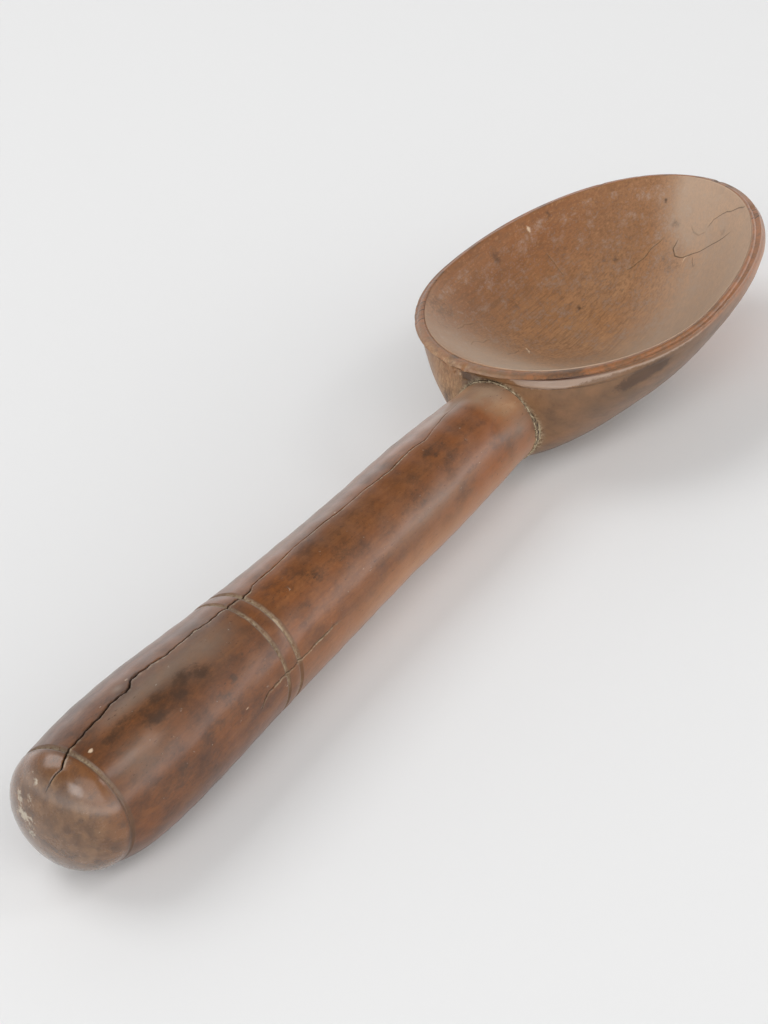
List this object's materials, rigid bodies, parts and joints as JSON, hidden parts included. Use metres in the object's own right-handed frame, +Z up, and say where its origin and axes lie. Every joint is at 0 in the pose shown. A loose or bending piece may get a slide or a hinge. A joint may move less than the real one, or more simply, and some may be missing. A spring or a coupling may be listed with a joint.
{
  "type": "wooden cream ladle",
  "caption": "Wooden ladle with a deep egg-shaped carved bowl and a stout turned handle, joined at the bowl's neck by a wedged round tenon.",
  "frame": {"origin": "on the table, in the worn flat under the bowl's widest place", "axes": "+X from the butt to the tip of the bowl, +Z up"},
  "size_m": [0.3003, 0.08, 0.0357],
  "materials": {
    "bowl_wood": "worn carved fruitwood with an old handled sheen",
    "handle_wood": "dark reddish-brown turned wood, polished by use",
    "wedge_wood": "raw split wood",
    "old_glue": "dull hardened glue and dust"
  },
  "bodies": {
    "root": {"bowl": "bowl_wood", "handle": "handle_wood", "tenon_wedge": "wedge_wood", "glue_line": "old_glue"}
  },
  "joints": []
}
